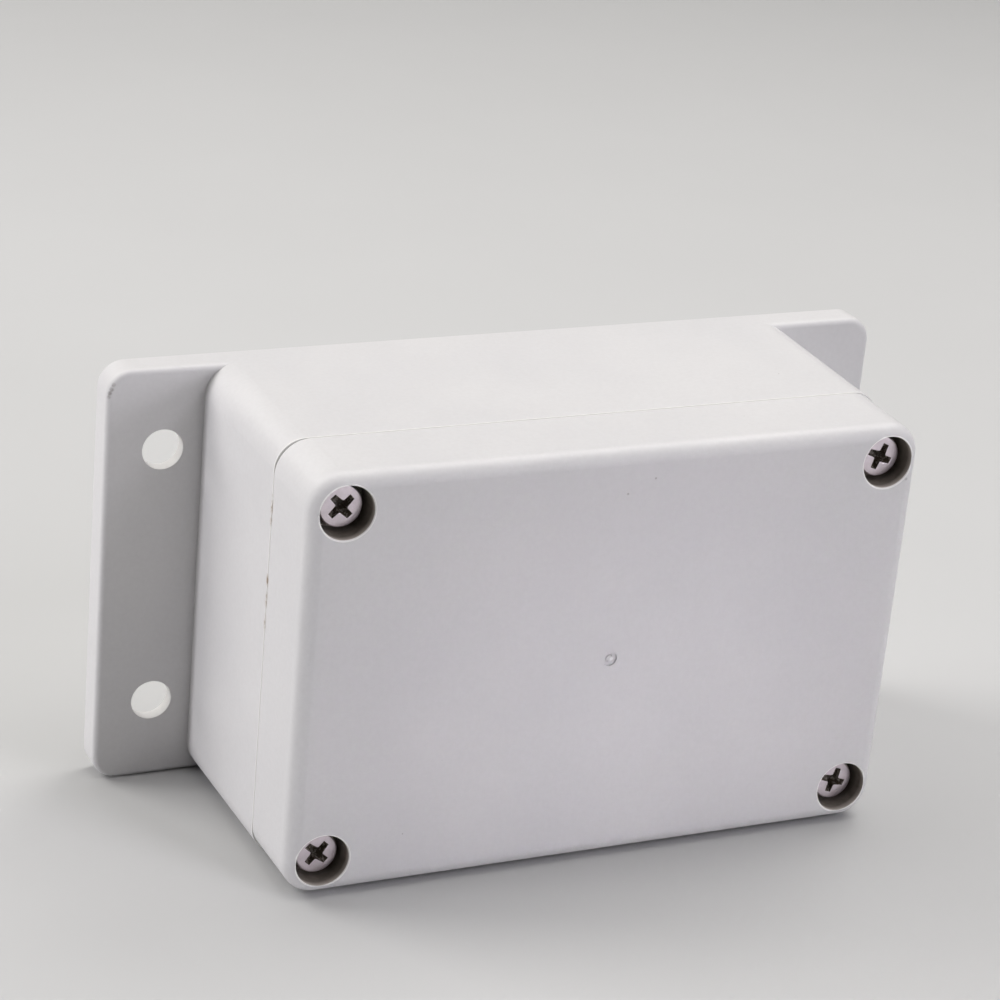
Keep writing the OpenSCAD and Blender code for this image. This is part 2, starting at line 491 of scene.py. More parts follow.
@dataclass(frozen=True)
class ShadedBores(Layer):
    """The screw bores of the lid: painted shade, tinted brown, that deepens further in, and a
    painted highlight on the rim.

    Depths run from the lid's face. Both painted shades thicken over the ones given here.
    """

    centres: tuple[Span, ...]
    face: float
    radius: float = 4.15 * MM
    fade: Span = (0.03 * MM, 0.06 * MM)
    bevel: float = 0.15 * MM
    reach: float = 6.0 * MM
    # Painted shade, not dirt: a light brown shade near the mouth of each bore and a dark one
    # further in.
    shallow_shade: Tone = (0.62, 0.56, 0.50)
    shallow_shade_over: Span = (0.0, 0.5 * MM)
    shallow_shade_strength: Span = (0.55, 1.0)
    dirt_and_shade: Tone = (0.150, 0.130, 0.108)
    deep_shade_over: Span = (0.2 * MM, 1.3 * MM)
    torn: Pattern = Pattern(0.9)
    torn_to: float = 0.86
    # Painted highlight on the bevel at the mouth of each bore.
    rim_highlight: Tone = (0.95, 0.94, 0.92)

    def colour(self, sheet: NodeSheet, place: Socket, under: Socket) -> Socket:
        """Adds the painted shade, light and then deep, and the painted highlight on the rims, as
        Layer describes.
        """
        depth = sheet.maths("SUBTRACT", sheet.split(place).outputs["Y"], self.face)
        out = None
        for across, up in self.centres:
            away = sheet.away_from(place, (across, 0.0, up), ROUND_Y)
            out = away if out is None else sheet.maths("MINIMUM", out, away)
        limits = (self.radius + self.fade[0], self.radius + self.fade[1])
        inside = sheet.spread(out, limits, OFF)
        inside = sheet.maths("MULTIPLY", inside, sheet.maths("LESS_THAN", depth, self.reach))
        # Painted shade near the mouth, thickening with depth.
        shallow_shade = sheet.spread(depth, self.shallow_shade_over, self.shallow_shade_strength)
        colour = sheet.tint(sheet.maths("MULTIPLY", shallow_shade, inside), under, self.shallow_shade)
        # Deeper painted shade further in, broken up by the torn pattern.
        dirt_and_shade = sheet.maths("MULTIPLY", sheet.spread(depth, self.deep_shade_over, ON), inside)
        torn = sheet.patches(place, self.torn, (self.torn_to, 1.0))
        colour = sheet.tint(sheet.maths("MULTIPLY", dirt_and_shade, torn), colour, self.dirt_and_shade)
        # Painted highlight on the rims.
        return sheet.tint(self._rims(sheet, out, depth), colour, self.rim_highlight)

    def _rims(self, sheet: NodeSheet, out: Socket, depth: Socket) -> Socket:
        """Masks the bevels at the mouths of the bores, where the painted highlight lies.

        Args:
            sheet: Sheet to draw on.
            out: Distance from the axis of the nearest bore.
            depth: Depth below the lid's face.

        Returns:
            A mask that is 1 on the rims.
        """
        middle, half = self.radius + 0.6 * self.bevel, 0.6 * self.bevel
        off = sheet.maths("ABSOLUTE", sheet.maths("SUBTRACT", out, middle))
        rim = sheet.spread(off, (half, 2.0 * half), OFF)
        return sheet.maths("MULTIPLY", rim, sheet.maths("LESS_THAN", depth, 2.0 * half))


# ---- finishes ----


@dataclass(frozen=True)
class Finish(ABC):
    """A finish that one material shows."""

    name: str

    def build(self) -> bpy.types.Material:
        """Makes the material.

        Returns:
            The new material, which carries the finish's name.
        """
        sheet = NodeSheet.blank(self.name)
        self.paint(sheet, sheet.place())
        return sheet.material

    @abstractmethod
    def paint(self, sheet: NodeSheet, place: Socket) -> None:
        """Sets up the shader.

        Args:
            sheet: Sheet to draw on.
            place: Coordinates of the surface.
        """


@dataclass(frozen=True)
class MouldedPlastic(Finish):
    """Light grey moulded plastic with a fine matte texture, under its dirt, marks and painted
    light and shade.
    """

    layers: tuple[Layer, ...]
    tone: Tone = (0.656, 0.648, 0.657)
    pale: Tone = (0.684, 0.674, 0.679)
    cloud: Pattern = Pattern(0.035, window=(0.35, 0.65))
    sheen: Pattern = Pattern(0.22)
    roughness: Span = (0.46, 0.56)
    ior: float = 1.5
    grain: Pattern = Pattern(2.4, roughness=0.6)
    grain_depth: float = 0.010 * MM

    def paint(self, sheet: NodeSheet, place: Socket) -> None:
        """Paints the plain plastic and lays the layers over it, as Finish describes."""
        colour = sheet.tint(sheet.patches(place, self.cloud), self.tone, self.pale)
        for layer in self.layers:
            colour = layer.colour(sheet, place, colour)
        sheet.drive("Base Color", colour)
        sheet.drive("Roughness", sheet.patches(place, self.sheen, self.roughness))
        sheet.fix("IOR", self.ior)
        sheet.emboss(sheet.noise(place, self.grain), self.grain_depth)


@dataclass(frozen=True)
class PatchyFinish(Finish):
    """Two tones that meet in soft patches, with an uneven sheen and a fine tooth.

    The second tone reaches the share `most` in the middle of its patches. Where `metallic` is
    None, only those patches are metallic.
    """

    tone: Tone
    second: Tone
    patch: Pattern
    sheen: Pattern
    roughness: Span
    tooth: Pattern
    tooth_depth: float
    metallic: float | None = 1.0
    most: float = 1.0

    def paint(self, sheet: NodeSheet, place: Socket) -> None:
        """Paints the two tones, the sheen and the tooth, as Finish describes."""
        patches = sheet.patches(place, self.patch, (0.0, self.most))
        sheet.drive("Base Color", sheet.tint(patches, self.tone, self.second))
        if self.metallic is None:
            sheet.drive("Metallic", patches)
        else:
            sheet.fix("Metallic", self.metallic)
        sheet.drive("Roughness", sheet.patches(place, self.sheen, self.roughness))
        sheet.emboss(sheet.noise(place, self.tooth), self.tooth_depth)


def plated_steel() -> PatchyFinish:
    """Returns pale plated steel with a soft sheen."""
    return PatchyFinish(
        name="plated_steel",
        tone=(0.75, 0.68, 0.725),
        second=(0.66, 0.595, 0.635),
        patch=Pattern(0.8, 4.0, 0.6, (0.35, 0.7)),
        sheen=Pattern(3.0),
        roughness=(0.30, 0.40),
        tooth=Pattern(6.0),
        tooth_depth=0.002 * MM,
    )


def painted_recess_shade() -> PatchyFinish:
    """Returns painted shade for the cross recess, a near-black brown, with patches of bare metal
    here and there.
    """
    return PatchyFinish(
        name="painted_recess_shade",
        # Painted shade: the near-black brown stands for the shade deep in the recess.
        tone=(0.050, 0.037, 0.023),
        second=(0.50, 0.46, 0.42),
        patch=Pattern(1.6, roughness=0.6, window=(0.50, 0.64)),
        sheen=Pattern(3.0, 2.0),
        roughness=(0.28, 0.45),
        tooth=Pattern(4.0),
        tooth_depth=0.010 * MM,
        metallic=None,
        most=0.65,
    )


def turned_brass() -> PatchyFinish:
    """Returns freshly turned brass, a little dulled."""
    return PatchyFinish(
        name="turned_brass",
        tone=(0.79, 0.60, 0.27),
        second=(0.55, 0.38, 0.15),
        patch=Pattern(0.7, window=(0.35, 0.7)),
        sheen=Pattern(4.0, 2.0),
        roughness=(0.22, 0.36),
        tooth=Pattern(5.0, 2.0),
        tooth_depth=0.004 * MM,
    )


def seal_rubber() -> PatchyFinish:
    """Returns dull black seal rubber with a powdery bloom."""
    return PatchyFinish(
        name="seal_rubber",
        tone=(0.022, 0.022, 0.024),
        second=(0.060, 0.060, 0.062),
        patch=Pattern(0.5, 4.0, 0.6, (0.4, 0.7)),
        sheen=Pattern(1.5, 2.0),
        roughness=(0.55, 0.75),
        tooth=Pattern(3.0, 2.0),
        tooth_depth=0.01 * MM,
        metallic=0.0,
    )


@dataclass(frozen=True)
class StudioPaper(Finish):
    """Plain pale backdrop paper, very slightly uneven."""

    tone: Tone = (0.58, 0.58, 0.58)
    darkest: float = 0.97
    cloud: Pattern = Pattern(0.02, 2.0)
    roughness: float = 0.9
    specular: float = 0.1

    def paint(self, sheet: NodeSheet, place: Socket) -> None:
        """Paints the paper, as Finish describes."""
        darker = tuple(self.darkest * part for part in self.tone)
        sheet.drive("Base Color", sheet.tint(sheet.noise(place, self.cloud), self.tone, darker))
        sheet.fix("Roughness", self.roughness)
        sheet.fix("Specular IOR Level", self.specular)


# ---- mesh helpers ----


def mesh_object(name: str, mesh: Mesh) -> bpy.types.Object:
    """Turns a bmesh into a linked object with outward normals.

    Args:
        name: Name of the new object.
        mesh: Mesh to keep, which is freed here.

    Returns:
        The new object.
    """
    bmesh.ops.recalc_face_normals(mesh, faces=mesh.faces)
    data = bpy.data.meshes.new(name)
    mesh.to_mesh(data)
    mesh.free()
    made = bpy.data.objects.new(name, data)
    bpy.context.scene.collection.objects.link(made)
    return made


def apply_modifiers(piece: bpy.types.Object) -> None:
    """Bakes a piece's modifiers into its mesh.

    Args:
        piece: Piece to bake.
    """
    bpy.context.view_layer.update()
    graph = bpy.context.evaluated_depsgraph_get()
    baked = bpy.data.meshes.new_from_object(piece.evaluated_get(graph))
    old = piece.data
    piece.modifiers.clear()
    piece.data = baked
    baked.name = piece.name
    bpy.data.meshes.remove(old)


def ring(mesh: Mesh, level: float, radii: Sequence[float]) -> Ring:
    """Lays points round the Z axis at even angles.

    Args:
        mesh: Mesh to add to.
        level: Height of the ring.
        radii: Radius of each point, from +X on.

    Returns:
        The points, in order.
    """
    points = []
    for step, radius in enumerate(radii):
        angle = FULL_TURN * step / len(radii)
        points.append(mesh.verts.new((radius * math.cos(angle), radius * math.sin(angle), level)))
    return points


def join_rings(mesh: Mesh, low: Ring, high: Ring) -> None:
    """Skins the band between two closed rings, where either may be a single point.

    Args:
        mesh: Mesh to add to.
        low: First ring.
        high: Second ring.
    """
    count = max(len(low), len(high))
    for step in range(count):
        after = (step + 1) % count
        if len(low) == 1:
            mesh.faces.new((low[0], high[after], high[step]))
        elif len(high) == 1:
            mesh.faces.new((low[step], low[after], high[0]))
        else:
            mesh.faces.new((low[step], low[after], high[after], high[step]))


def skin(mesh: Mesh, rings: Sequence[Ring]) -> None:
    """Skins a row of rings, each to the next.

    Args:
        mesh: Mesh to add to.
        rings: The rings, in order.
    """
    for low, high in zip(rings, rings[1:]):
        join_rings(mesh, low, high)


def lathe(mesh: Mesh, profile: Iterable[Span], steps: int) -> None:
    """Turns a closed profile round the Z axis into a solid.

    Args:
        mesh: Mesh to add to.
        profile: Radius and height of each point, from one point on the axis to another.
        steps: Number of faces round the axis.
    """
    rings = []
    for radius, height in profile:
        on_axis = radius <= 0.0
        rings.append(ring(mesh, height, [0.0] if on_axis else [radius] * steps))
    skin(mesh, rings)


def shade(piece: bpy.types.Object, sharp_over: float) -> None:
    """Smooths a piece and keeps its sharper edges crisp.

    Args:
        piece: Piece to shade.
        sharp_over: Angle between two faces, in degrees, from which their edge is crisp.
    """
    limit = math.radians(sharp_over)
    mesh = bmesh.new()
    mesh.from_mesh(piece.data)
    for face in mesh.faces:
        face.smooth = True
    for edge in mesh.edges:
        edge.smooth = len(edge.link_faces) == 2 and edge.calc_face_angle(0.0) < limit
    mesh.to_mesh(piece.data)
    mesh.free()


def coat(piece: bpy.types.Object, *materials: bpy.types.Material | None) -> None:
    """Gives a piece its materials in place of the ones it has.

    Args:
        piece: Piece to coat.
        materials: Material of each material slot, or None to leave it open.
    """
    piece.data.materials.clear()
    for material in materials:
        piece.data.materials.append(material)


def facing_lid(anchor: Vector) -> Matrix:
    """Finds the placing that turns a piece's own +Z towards the lid side.

    Args:
        anchor: Where the piece's own origin goes.

    Returns:
        The placing.
    """
    return Matrix.Translation(anchor) @ Matrix.Rotation(math.radians(90.0), 4, "X")


def middle_of(low: Vector, high: Vector) -> Vector:
    """Finds the middle of a box.

    Args:
        low: Lowest corner.
        high: Highest corner.

    Returns:
        The middle.
    """
    return Vector(((low.x + high.x) / 2.0, (low.y + high.y) / 2.0, (low.z + high.z) / 2.0))


# ---- the box ----


@dataclass
class Finishes:
    """The finishes of the box, each built once."""

    base_plastic: bpy.types.Material
    lid_plastic: bpy.types.Material
    steel: bpy.types.Material
    # Painted shade for the insides of the screw recesses.
    recess_shade: bpy.types.Material
    brass: bpy.types.Material
    rubber: bpy.types.Material


@dataclass
class Housing:
    """The two mouldings of the box and the seal between them, as they were packed."""

    nodes: dict[str, bpy.types.Object]
    finishes: Finishes

    def dress_all(self) -> None:
        """Gives the base, the lid and the gasket their finishes."""
        plan = {
            "base": self.finishes.base_plastic,
            "lid": self.finishes.lid_plastic,
            "gasket": self.finishes.rubber,
        }
        for name, material in plan.items():
            coat(self.nodes[name], material)
            log.info("%s dressed", name)


@dataclass
class LidScrew:
    """A cheese-head screw with a cross recess and a coarse thread, on one corner of the lid.

    It is built upright, with the seat of its head at height 0 and its shank below.
    """

    corner: Corner
    recess_turn: float
    # Material of the painted shade inside the recess.
    steel: bpy.types.Material
    recess_shade: bpy.types.Material
    steps: int = 96
    sharp_over: float = 32.0
    head_height: float = 2.6 * MM
    head_edge: float = 0.25 * MM
    edge_steps: int = 8
    head_crown: float = 0.05 * MM
    crown_rings: tuple[float, ...] = (0.8, 0.6, 0.4, 0.2)
    seat_bevel: float = 0.1 * MM
    recess_span: float = 4.2 * MM
    recess_wing: float = 1.0 * MM
    recess_depth: float = 1.75 * MM
    throat_gap: float = 0.22 * MM
    throat_flare: float = 0.12 * MM
    punch_rise: float = 0.4 * MM
    punch_point: float = 0.35 * MM
    lip_bevel: float = 0.045 * MM
    lip_segments: int = 2
    lip_angle: float = 35.0
    recess_shade_drop: float = 0.06 * MM
    shank_steps: int = 32
    shank_radius: float = 1.75 * MM
    core_radius: float = 1.30 * MM
    thread_pitch: float = 1.25 * MM
    thread_flank: float = 0.34
    rings_per_pitch: int = 8
    neck_share: float = 1.12
    tip_length: float = 1.4 * MM
    tip_bevel: float = 0.25 * MM
    tip_share: float = 0.72

    @property
    def node(self) -> str:
        """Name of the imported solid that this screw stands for."""
        return f"lid_screw_{self.corner.value}"

    def build(self) -> bpy.types.Object:
        """Makes the screw in its place.

        Returns:
            The finished piece, riding on its own body.
        """
        low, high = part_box(self.node)
        seat = middle_of(low, high)
        seat.y = low.y + self.head_height
        piece = self._head((high.x - low.x) / 2.0)
        self._cut_recess(piece)
        self._add_shank(piece, high.y - seat.y)
        turn = Matrix.Rotation(math.radians(self.recess_turn), 4, "Z")
        piece.data.transform(facing_lid(seat) @ turn)
        shade(piece, self.sharp_over)
        # Faces inside the recess, which take the painted shade.
        shaded_faces = [face.index for face in piece.data.polygons if face.material_index == 1]
        coat(piece, self.steel, self.recess_shade)
        for index in shaded_faces:
            piece.data.polygons[index].material_index = 1
        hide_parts(self.node)
        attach(piece, f"screw_{self.corner.value}")
        return piece

    def _head(self, radius: float) -> bpy.types.Object:
        """Turns the head.

        Args:
            radius: Radius of the head.

        Returns:
            The head, without its recess.
        """
        rim = radius - self.head_edge
        level = self.head_height - self.head_crown
        centre = level - self.head_edge
        profile = [(0.0, 0.0), (radius - self.seat_bevel, 0.0), (radius, self.seat_bevel)]
        for step in range(self.edge_steps + 1):
            angle = math.radians(90.0 * step / self.edge_steps)
            across, up = self.head_edge * math.cos(angle), self.head_edge * math.sin(angle)
            profile.append((rim + across, centre + up))
        for share in self.crown_rings:
            profile.append((rim * share, level + self.head_crown * (1.0 - share * share)))
        profile.append((0.0, self.head_height))
        mesh = bmesh.new()
        lathe(mesh, profile, self.steps)
        return mesh_object(f"screw_{self.corner.value}", mesh)

    def _cut_recess(self, head: bpy.types.Object) -> None:
        """Punches the cross into a head, softens its lips and marks its faces for the painted
        shade.

        Args:
            head: Head to cut.
        """
        punch = self._punch()
        cut = head.modifiers.new("recess", "BOOLEAN")
        cut.object = punch
        cut.operation = "DIFFERENCE"
        cut.solver = "EXACT"
        apply_modifiers(head)
        bpy.data.objects.remove(punch)
        soften = head.modifiers.new("lips", "BEVEL")
        soften.width = self.lip_bevel
        soften.segments = self.lip_segments
        soften.limit_method = "ANGLE"
        soften.angle_limit = math.radians(self.lip_angle)
        apply_modifiers(head)
        self._mark_recess(head)

    def _punch(self) -> bpy.types.Object:
        """Makes the cross-shaped punch, with wings that narrow and shorten towards its point.

        Returns:
            The punch, to be cut from a head.
        """
        mesh = bmesh.new()
        top, floor = self.head_height, self.head_height - self.recess_depth
        # Height, share of the span and share of the wing's width at each level.
        levels = (
            (top + self.punch_rise, 1.0 + self.punch_rise / self.recess_depth * 0.25, 1.03),
            (top - 0.02 * MM, 1.0, 1.0),
            (top - 0.75 * self.recess_depth, 0.62, 0.86),
            (floor, 0.34, 0.62),
        )
        rings = [self._cross_ring(mesh, *level) for level in levels]
        skin(mesh, rings)
        mesh.faces.new(rings[0])
        tip = mesh.verts.new((0.0, 0.0, floor - self.punch_point))
        join_rings(mesh, rings[-1], [tip])
        return mesh_object("recess_punch", mesh)

    def _cross_ring(self, mesh: Mesh, height: float, reach: float, width: float) -> Ring:
        """Draws the outline of the cross at one level.

        Args:
            mesh: Mesh to add to.
            height: Level of the outline.
            reach: Share of the full span.
            width: Share of the full width of a wing.

        Returns:
            The points of the outline, in order.
        """
        half = self.recess_wing * width / 2.0
        end = self.recess_span * reach / 2.0
        throat = half + self.throat_gap
        wing = ((end, -half), (end, half), (throat + self.throat_flare, half), (throat, throat))
        points = []
        for quarter in range(4):
            turn = Matrix.Rotation(math.radians(90.0 * quarter), 3, "Z")
            for x, y in wing:
                spot = turn @ Vector((x, y, 0.0))
                points.append(mesh.verts.new((spot.x, spot.y, height)))
        return points

    def _mark_recess(self, head: bpy.types.Object) -> None:
        """Marks the faces inside the recess, below its lips, for the painted shade.

        Args:
            head: Head with its recess cut.
        """
        top = self.head_height - self.head_crown - self.recess_shade_drop
        bottom = 2.0 * self.seat_bevel
        reach = 0.56 * self.recess_span
        coat(head, None, None)
        for face in head.data.polygons:
            across, up, height = face.center
            if math.hypot(across, up) < reach and bottom < height < top:
                face.material_index = 1

    def _add_shank(self, head: bpy.types.Object, length: float) -> None:
        """Adds the threaded shank below the head, as a helical ridge on a core.

        Args:
            head: Head that the shank joins.
            length: Length of the shank under the head.
        """
        threaded = length - self.tip_length
        turns = int(threaded / self.thread_pitch)
        start = -(threaded - turns * self.thread_pitch)
        neck = [self.core_radius * self.neck_share] * self.shank_steps
        tip = [self.core_radius * self.tip_share] * self.shank_steps
        mesh = bmesh.new()
        mesh.from_mesh(head.data)
        rings = [ring(mesh, 0.0, neck)]
        for step in range(turns * self.rings_per_pitch + 1):
            level = start - self.thread_pitch * step / self.rings_per_pitch
            rings.append(ring(mesh, level, self._thread_radii(start - level)))
        rings.append(ring(mesh, -length + self.tip_bevel, tip))
        rings.append(ring(mesh, -length, [0.0]))
        skin(mesh, rings)
        mesh.faces.new(rings[0])
        bmesh.ops.recalc_face_normals(mesh, faces=mesh.faces)
        mesh.to_mesh(head.data)
        mesh.free()

    def _thread_radii(self, below: float) -> list[float]:
        """Gives the radius of the thread round the shank at one level.

        Args:
            below: Distance below the start of the thread.

        Returns:
            The radius of each point of the ring.
        """
        radii = []
        for step in range(self.shank_steps):
            turn = below / self.thread_pitch + step / self.shank_steps
            off_crest = abs(turn - math.floor(turn) - 0.5)
            rise = max(0.0, 1.0 - off_crest / self.thread_flank)
            radii.append(self.core_radius + (self.shank_radius - self.core_radius) * rise)
        return radii


@dataclass
class BrassInsert:
    """A pressed-in insert with two knurled bands and a threaded bore.

    It is built upright, with its blind end at height 0.
    """

    corner: Corner
    brass: bpy.types.Material
    sharp_over: float = 30.0
    bore_radius: float = 1.80 * MM
    band_length: float = 2.6 * MM
    waist_depth: float = 0.25 * MM
    knurl_depth: float = 0.12 * MM
    knurls: int = 30
    knurl_steps: int = 4
    rim_bevel: float = 0.15 * MM
    lead_in: float = 0.25 * MM

    @property
    def node(self) -> str:
        """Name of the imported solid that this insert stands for."""
        return f"insert_{self.corner.value}"

    def build(self) -> bpy.types.Object:
        """Makes the insert in its place.

        Returns:
            The finished piece, riding on the base.
        """
        low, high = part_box(self.node)
        anchor = middle_of(low, high)
        anchor.y = high.y
        mesh = bmesh.new()
        rings = [
            ring(mesh, level, self._radii(radius, knurled))
            for level, radius, knurled in self._section((high.x - low.x) / 2.0, high.y - low.y)
        ]
        skin(mesh, rings + rings[:1])
        piece = mesh_object(f"brass_insert_{self.corner.value}", mesh)
        piece.data.transform(facing_lid(anchor))
        shade(piece, self.sharp_over)
        coat(piece, self.brass)
        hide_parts(self.node)
        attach(piece, "base_body")
        return piece

    def _section(self, outer: float, length: float) -> list[tuple[float, float, bool]]:
        """Lists the section of the insert, up the outside and down the bore.

        Args:
            outer: Outer radius of the gripping bands.
            length: Length of the insert.

        Returns:
            Height, radius and whether the ring is knurled, for each ring.
        """
        bevel = self.rim_bevel
        rim = outer - bevel - self.knurl_depth
        waist = outer - self.waist_depth
        band = self.band_length
        mouth = self.bore_radius + self.lead_in
        return [
            (0.0, rim, False),
            (bevel, outer, True),
            (band - bevel, outer, True),
            (band, waist, False),
            (length - band, waist, False),
            (length - band + bevel, outer, True),
            (length - bevel, outer, True),
            (length, rim, False),
            (length, mouth, False),
            (length - self.lead_in, self.bore_radius, False),
            (self.lead_in, self.bore_radius, False),
            (0.0, mouth, False),
        ]

    def _radii(self, radius: float, knurled: bool) -> list[float]:
        """Gives the radius round one ring.

        Args:
            radius: Outer radius of the ring.
            knurled: Whether half the points of each knurl sit in a groove.

        Returns:
            The radius of each point of the ring.
        """
        groove = radius - self.knurl_depth if knurled else radius
        half = self.knurl_steps // 2
        return ([radius] * half + [groove] * half) * self.knurls


# ---- the studio ----

# Where most lights are aimed.
BOX_MIDDLE = (0.0, 0.0, 0.034)


@dataclass
class SoftBox:
    """A square or oblong area light aimed at the box, with or without a honeycomb grid."""

    name: str
    spot: Point
    size: Span
    power: float
    colour: Tone
    aim: Point = BOX_MIDDLE
    spread: float = 180.0

    def build(self) -> bpy.types.Object:
        """Hangs the light.

        Returns:
            The light.
        """
        data = bpy.data.lights.new(self.name, "AREA")
        data.shape = "RECTANGLE"
        data.size, data.size_y = self.size
        data.energy = self.power
        data.color = self.colour
        data.spread = math.radians(self.spread)
        lamp = bpy.data.objects.new(self.name, data)
        bpy.context.scene.collection.objects.link(lamp)
        lamp.location = Vector(self.spot)
        towards = Vector(self.aim) - Vector(self.spot)
        lamp.rotation_euler = towards.to_track_quat("-Z", "Y").to_euler()
        return lamp


@dataclass
class Studio:
    """A pale floor, soft lights and the camera, whose place is given from the lid's face."""

    lid_face: Vector
    lights: list[SoftBox]
    azimuth: float = -26.063
    elevation: float = 22.778
    roll: float = 5.332
    distance: float = 0.45305
    shift_right: float = -0.01628
    shift_up: float = 0.02356
    lens: float = 110.04
    sensor: float = 36.0
    clip: Span = (0.01, 20.0)
    floor_half: float = 3.0
    floor_squares: int = 8
    floor_drop: float = 0.05 * MM

    def hang_camera(self) -> bpy.types.Object:
        """Places the camera in front of the lid, above it and to its left, and tilts it.

        Returns:
            The camera.
        """
        turn = math.radians(self.azimuth)
        rise = math.radians(self.elevation)
        back = Vector(
            (math.sin(turn) * math.cos(rise), -math.cos(turn) * math.cos(rise), math.sin(rise))
        )
        level = (-back).cross(Vector((0.0, 0.0, 1.0))).normalized()
        right = Matrix.Rotation(math.radians(self.roll), 3, back) @ level
        up = back.cross(right)
        data = bpy.data.cameras.new("camera")
        data.sensor_width = self.sensor
        data.lens = self.lens
        data.clip_start, data.clip_end = self.clip
        camera = bpy.data.objects.new("camera", data)
        bpy.context.scene.collection.objects.link(camera)
        pose = Matrix((right, up, back)).transposed().to_4x4()
        pose.translation = (
            self.lid_face + back * self.distance + right * self.shift_right + up * self.shift_up
        )
        camera.matrix_world = pose
        bpy.context.scene.camera = camera
        return camera

    def lay_floor(self) -> bpy.types.Object:
        """Lays a broad pale floor under the box.

        Returns:
            The floor.
        """
        mesh = bmesh.new()
        squares = self.floor_squares
        bmesh.ops.create_grid(mesh, x_segments=squares, y_segments=squares, size=self.floor_half)
        floor = mesh_object("floor", mesh)
        floor.location.z = -self.floor_drop
        coat(floor, StudioPaper("studio_paper").build())
        return floor

    def light(self) -> None:
        """Hangs the soft boxes, and keeps the rest of the room dark."""
        for lamp in self.lights:
            lamp.build()
        world = bpy.data.worlds.new("studio_air")
        world.use_nodes = True
        world.node_tree.nodes["Background"].inputs["Strength"].default_value = 0.0
        bpy.context.scene.world = world
        bpy.context.scene.view_settings.view_transform = "Standard"


def studio_lights() -> list[SoftBox]:
    """Lists the soft boxes.

    The warm ones hang overhead. The plain ones stand at the left, a little behind the ears, so
    that they graze past their fronts. The cool ones stand in front on the right, where the body
    of the box keeps them off the left ear, and one of them has a grid that pools it on the lid.

    Returns:
        The soft boxes, in the order that they are hung.
    """
    warm = (1.0, 0.985, 0.958)
    plain = (0.975, 0.965, 1.0)
    cool = (0.948, 0.931, 1.0)
    pool = (0.004, -0.024, 0.024)
    return [
        SoftBox("top_box", (0.05, 0.10, 0.90), (0.9, 0.7), 4.27, warm),
        SoftBox("top_right_box", (0.50, 0.25, 0.80), (0.6, 0.5), 3.17, warm),
        SoftBox("top_left_box", (-0.60, 0.45, 0.60), (0.5, 0.4), 4.29, warm),
        SoftBox("top_front_box", (0.10, -0.35, 1.00), (0.6, 0.4), 1.12, warm),
        SoftBox("left_strip", (-0.92, 0.10, 0.10), (0.12, 0.2), 2.81, plain),
        SoftBox("left_box", (-0.90, 0.22, 0.12), (0.4, 0.2), 0.33, plain),
        SoftBox("front_box", (0.80, -1.50, 0.35), (0.4, 0.4), 7.30, cool),
        SoftBox("front_high_box", (0.60, -1.00, 0.90), (0.4, 0.4), 3.44, cool),
        SoftBox("front_low_box", (0.70, -1.50, 0.08), (0.4, 0.12), 0.25, cool),
        SoftBox("lid_pool", (0.40, -0.78, 0.10), (0.06, 0.06), 0.0031, cool, pool, spread=7.0),
    ]


# ---- what lies where ----


def parting_line() -> Seam:
    """Finds the parting line, and lists the brown stains on its left end.

    Returns:
        The parting line.
    """
    low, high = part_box("lid")
    # Height, half length and strength of each stain.
    stains = (
        (57.6, 2.0, 0.85),
        (55.0, 1.0, 0.5),
        (45.6, 1.3, 0.85),
        (42.8, 1.6, 0.6),
        (39.0, 1.6, 0.6),
    )
    return Seam(
        plane=high.y,
        end=low.x + 0.5 * MM,
        stains=tuple(SeamStain(up * MM, half * MM, strength) for up, half, strength in stains),
    )


def screw_bores() -> ShadedBores:
    """Finds the screw bores of the lid, with their painted shade and painted rim highlights.

    Returns:
        The bores.
    """
    middles = [middle_of(*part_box(f"lid_screw_{corner.value}")) for corner in Corner]
    return ShadedBores(tuple((spot.x, spot.z) for spot in middles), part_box("lid")[0].y)


def mounting_holes(mount: dict[str, object]) -> LitHoleWalls:
    """Finds the mounting holes of the ears, whose walls take painted light.

    Args:
        mount: The record's entry on the holes.

    Returns:
        The holes.
    """
    across = mount["dims"]["spacing_x_mm"] * MM / 2.0
    up = mount["dims"]["spacing_y_mm"] * MM / 2.0
    middle = mount["pos_m"][2]
    centres = tuple((x, middle + z) for x in (-across, across) for z in (-up, up))
    return LitHoleWalls(centres, mount["dims"]["hole_r_mm"] * MM)


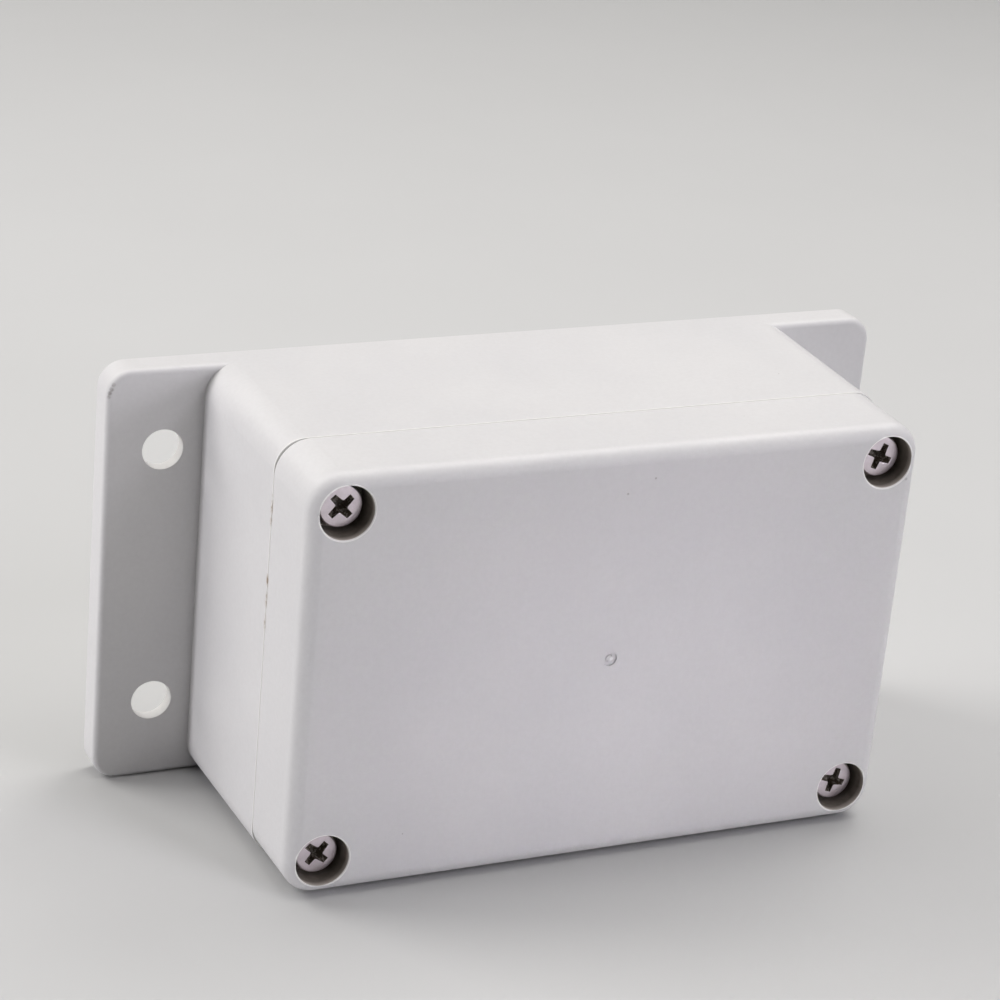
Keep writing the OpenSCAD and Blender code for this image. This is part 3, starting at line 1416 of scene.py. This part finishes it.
def small_marks(ear_front: float) -> Spots:
    """Lists the flecks on the lid and its seam, the scuff on the left ear and the gate mark.

    Args:
        ear_front: Where the front of the ears lies along Y.

    Returns:
        The marks.
    """
    low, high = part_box("lid")
    gate = middle_of(low, high)
    fleck_y = low.y + 0.1 * MM
    scuff_y = ear_front + 0.15 * MM
    pale = (0.95, 0.95, 0.95)
    # Across, up and reach.
    flecks = ((0.0, 60.6, 0.26), (4.3, 62.7, 0.26), (47.3, 58.7, 0.34))
    # Across, up and strength.
    scuff = ((-64.90, 64.0, 0.6), (-64.75, 64.6, 0.8), (-64.48, 65.2, 0.7), (-64.2, 65.9, 0.6))
    # Across and up from the middle of the lid, reach and strength: the ring of the gate mark.
    shadows = (
        (0.29, 0.60, 0.30, 0.9),
        (0.78, -0.38, 0.34, 0.55),
        (-0.42, -0.38, 0.34, 0.5),
        (0.20, -0.90, 0.34, 0.4),
    )
    spots = [Spot((x * MM, fleck_y, z * MM), reach * MM, 0.7) for x, z, reach in flecks]
    spots += [Spot((x * MM, scuff_y, z * MM), 0.42 * MM, strength) for x, z, strength in scuff]
    spots.append(Spot((-50.0 * MM, -12.6 * MM, 51.3 * MM), 0.22 * MM, 0.6))
    for x, z, reach, strength in shadows:
        place = (gate.x + x * MM, low.y, gate.z + z * MM)
        spots.append(Spot(place, reach * MM, strength))
    glint = (gate.x + 0.28 * MM, low.y, gate.z - 0.05 * MM)
    spots.append(Spot(glint, 0.42 * MM, 0.9, pale))
    return Spots(tuple(spots))


# ---- the whole scene ----

# How far each screw's cross is turned, in degrees.
RECESS_TURNS = {
    Corner.TOP_LEFT: 41.0,
    Corner.TOP_RIGHT: 65.0,
    Corner.BOTTOM_LEFT: 47.0,
    Corner.BOTTOM_RIGHT: 70.0,
}


def make_finishes(record: dict[str, object]) -> Finishes:
    """Makes the finishes of the box.

    Args:
        record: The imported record.

    Returns:
        The finishes.
    """
    mount = next(entry for entry in record["mounts"] if entry["name"] == "mounting_holes")
    # Specks, stains and flecks, with painted light in the parting gap and painted shade and a
    # painted glint on the gate mark.
    dirt_and_shade = (Specks(), parting_line(), small_marks(mount["pos_m"][1]))
    return Finishes(
        base_plastic=MouldedPlastic("base_plastic", (*dirt_and_shade, mounting_holes(mount))).build(),
        lid_plastic=MouldedPlastic("lid_plastic", (*dirt_and_shade, screw_bores())).build(),
        steel=plated_steel().build(),
        recess_shade=painted_recess_shade().build(),
        brass=turned_brass().build(),
        rubber=seal_rubber().build(),
    )


def build_fasteners(finishes: Finishes) -> None:
    """Builds the screw and the insert of each corner.

    Args:
        finishes: The finishes of the box.
    """
    for corner in Corner:
        screw = LidScrew(corner, RECESS_TURNS[corner], finishes.steel, finishes.recess_shade).build()
        log.info("%s built, %d faces", screw.name, len(screw.data.polygons))
        insert = BrassInsert(corner, finishes.brass).build()
        log.info("%s built, %d faces", insert.name, len(insert.data.polygons))


def set_up_studio() -> None:
    """Hangs the camera in front of the lid, lays the floor and lights the box."""
    low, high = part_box("lid")
    face = middle_of(low, high)
    face.y = low.y
    studio = Studio(face, studio_lights())
    studio.hang_camera()
    studio.lay_floor()
    studio.light()


def main() -> None:
    """Loads the frame, builds every piece in order, and lights the box."""
    logging.basicConfig(level=logging.INFO, format="%(name)s: %(message)s")
    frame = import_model()
    finishes = make_finishes(frame["record"])
    Housing(frame["nodes"], finishes).dress_all()
    build_fasteners(finishes)
    set_up_studio()


if __name__ == "__main__":
    main()
